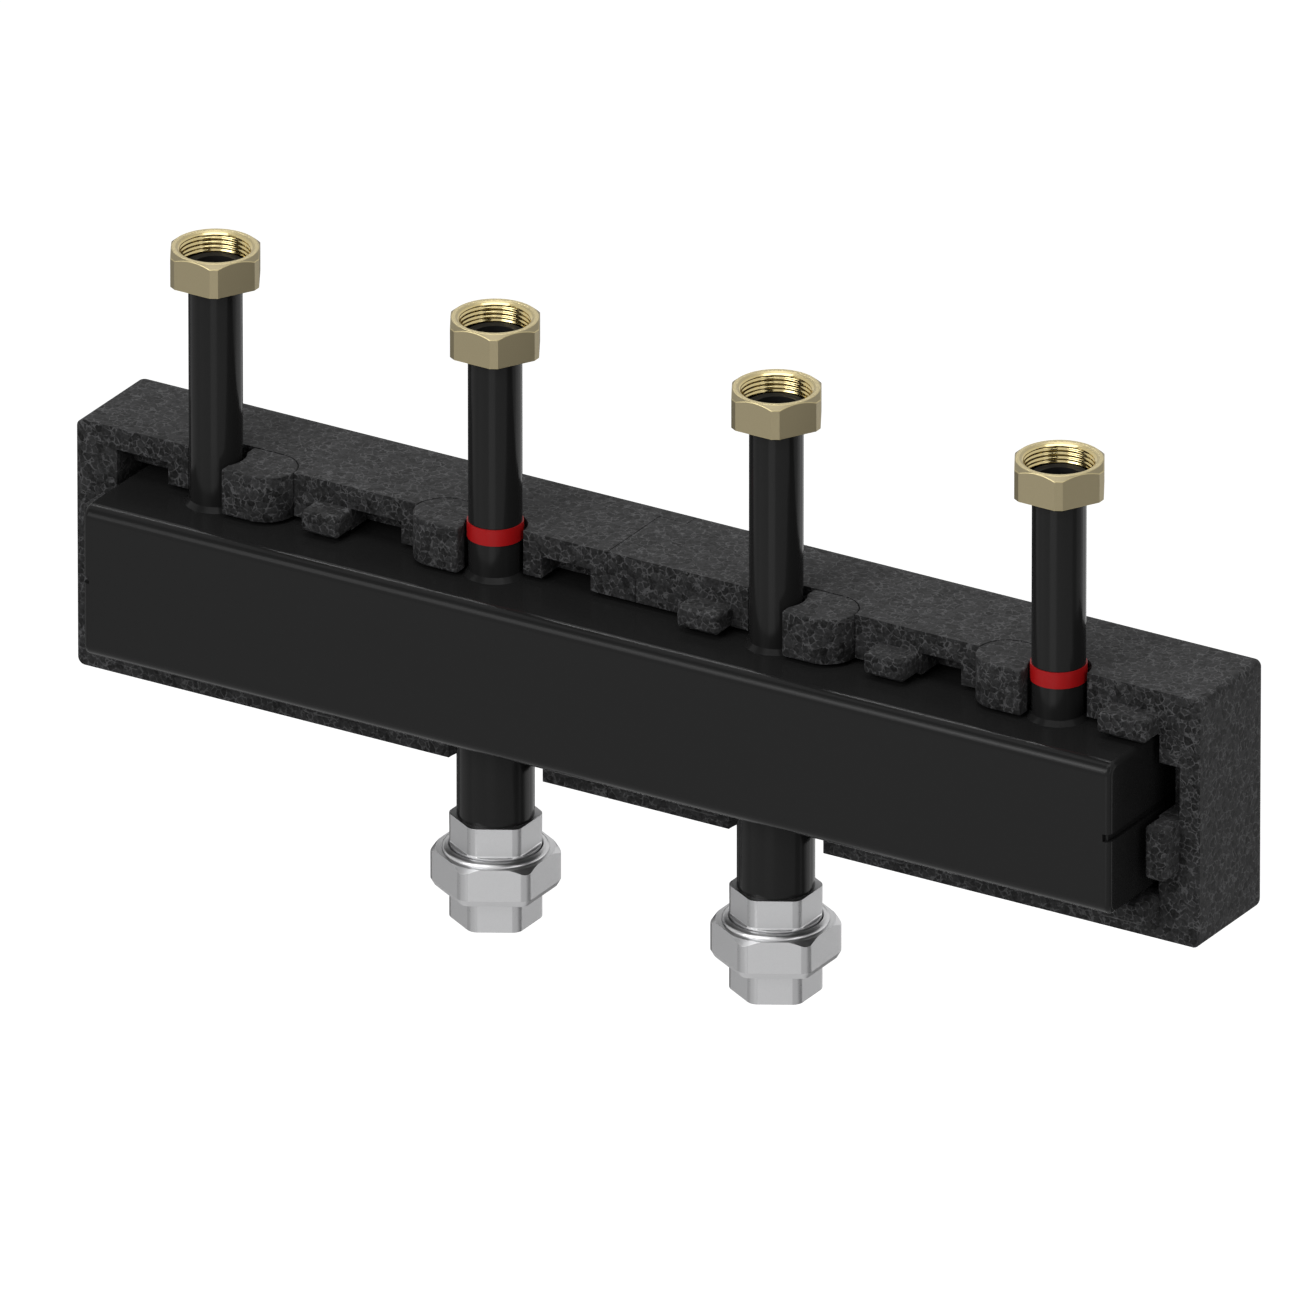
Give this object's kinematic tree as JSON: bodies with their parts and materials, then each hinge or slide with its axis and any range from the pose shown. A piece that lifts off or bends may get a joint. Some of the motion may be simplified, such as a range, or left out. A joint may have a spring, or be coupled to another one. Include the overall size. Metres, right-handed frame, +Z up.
{
  "type": "heating manifold",
  "caption": "Heating distribution manifold: black steel box with pipe stubs, brass union nuts above, screwed unions below, in the rear half of a foam case.",
  "frame": {"origin": "middle of the flat back of the foam case, level with the middle of the steel body", "axes": "+X along the manifold to the right seen from the front, +Y at the wall, +Z up"},
  "size_m": [0.5, 0.079, 0.2508],
  "materials": {
    "foam": "moulded bead foam, matt charcoal",
    "coated_steel": "powder coated, satin black",
    "brass": "machined yellow brass",
    "zinc": "zinc plated malleable iron, satin",
    "red": "red plastic ring",
    "gasket": "black flat gasket"
  },
  "bodies": {
    "manifold": {"insulation_rear_left": "foam", "insulation_rear_right": "foam", "filler_plug_return_1": "foam", "filler_plug_flow_1": "foam", "filler_plug_return_2": "foam", "filler_plug_flow_2": "foam", "body_shell": "coated_steel", "body_back_plate": "coated_steel", "divider_plate": "coated_steel", "end_cap_upper_left": "coated_steel", "end_cap_lower_left": "coated_steel", "end_cap_upper_right": "coated_steel", "end_cap_lower_right": "coated_steel", "stub_return_1": "coated_steel", "stub_flow_1": "coated_steel", "stub_return_2": "coated_steel", "stub_flow_2": "coated_steel", "nut_gasket_return_1": "gasket", "nut_gasket_flow_1": "gasket", "nut_gasket_return_2": "gasket", "nut_gasket_flow_2": "gasket", "marker_ring_flow_1": "red", "marker_ring_flow_2": "red", "stub_boiler_flow": "coated_steel", "stub_boiler_return": "coated_steel", "coupling_tail_boiler_flow": "zinc", "coupling_tail_boiler_return": "zinc", "coupling_nut_boiler_flow": "zinc", "coupling_nut_boiler_return": "zinc", "coupling_seal_boiler_flow": "gasket", "coupling_seal_boiler_return": "gasket", "coupling_end_boiler_flow": "zinc", "coupling_end_boiler_return": "zinc"},
    "nut_return_1": {"union_nut_return_1": "brass"},
    "nut_flow_1": {"union_nut_flow_1": "brass"},
    "nut_return_2": {"union_nut_return_2": "brass"},
    "nut_flow_2": {"union_nut_flow_2": "brass"}
  },
  "joints": [
    {"name": "nut_return_1_turn", "type": "hinge", "parent": "manifold", "child": "nut_return_1", "pos_m": [-0.1875, -0.048, 0.1312], "axis": [0, 0, 1], "continuous": true},
    {"name": "nut_flow_1_turn", "type": "hinge", "parent": "manifold", "child": "nut_flow_1", "pos_m": [-0.0625, -0.048, 0.1312], "axis": [0, 0, 1], "continuous": true},
    {"name": "nut_return_2_turn", "type": "hinge", "parent": "manifold", "child": "nut_return_2", "pos_m": [0.0625, -0.048, 0.1312], "axis": [0, 0, 1], "continuous": true},
    {"name": "nut_flow_2_turn", "type": "hinge", "parent": "manifold", "child": "nut_flow_2", "pos_m": [0.1875, -0.048, 0.1312], "axis": [0, 0, 1], "continuous": true}
  ]
}
